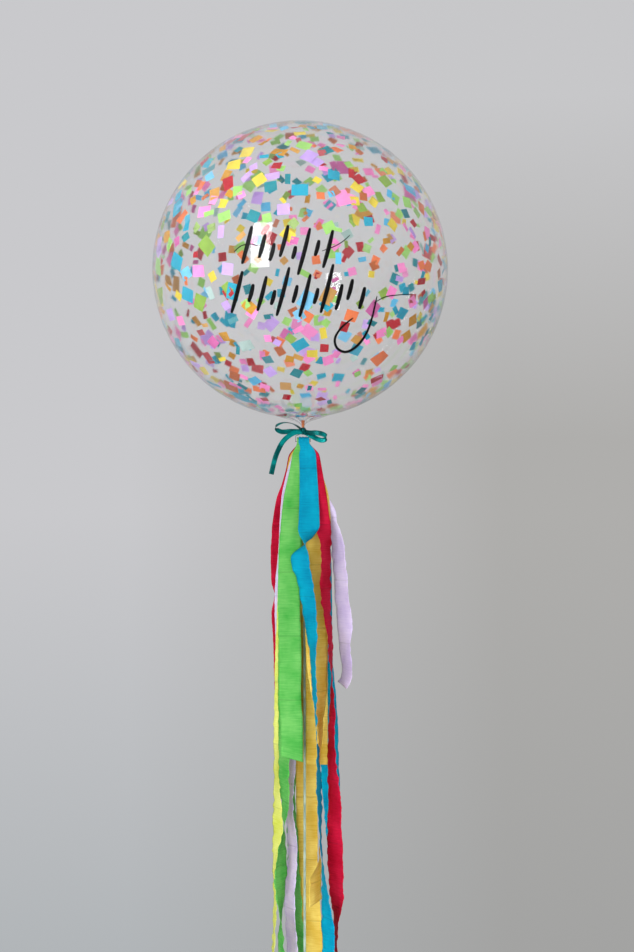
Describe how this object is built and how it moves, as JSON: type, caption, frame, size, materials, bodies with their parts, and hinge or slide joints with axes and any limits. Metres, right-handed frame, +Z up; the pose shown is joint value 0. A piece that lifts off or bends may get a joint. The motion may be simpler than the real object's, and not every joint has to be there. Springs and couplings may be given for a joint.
{
  "type": "confetti balloon",
  "caption": "Round clear balloon filled with tissue confetti, tied at the neck with a ribbon bow above a long tail of crepe paper streamers and its mooring string.",
  "frame": {"origin": "the tie at the balloon's neck, inside the bow's knot, where the string and the streamers hang from", "axes": "+Z up towards the balloon, -Y the front that the picture shows, +X to the right in that view"},
  "size_m": [0.5993, 0.5994, 1.8769],
  "materials": {
    "clear_film": "gloss",
    "confetti_tissue": "matte",
    "print_black": "satin",
    "bow_satin": "satin",
    "string_ribbon": "satin",
    "crepe_lemon": "matte",
    "crepe_gold": "matte",
    "crepe_lilac": "matte",
    "crepe_crimson": "matte",
    "crepe_green": "matte",
    "crepe_blue": "matte"
  },
  "bodies": {
    "root": {"balloon": "clear_film", "bow": "bow_satin", "string": "string_ribbon", "streamer_lemon": "crepe_lemon", "streamer_gold_a": "crepe_gold", "streamer_lilac": "crepe_lilac", "streamer_gold_b": "crepe_gold", "streamer_red": "crepe_crimson", "streamer_green_b": "crepe_green", "streamer_green_a": "crepe_green", "streamer_blue": "crepe_blue"}
  },
  "joints": []
}
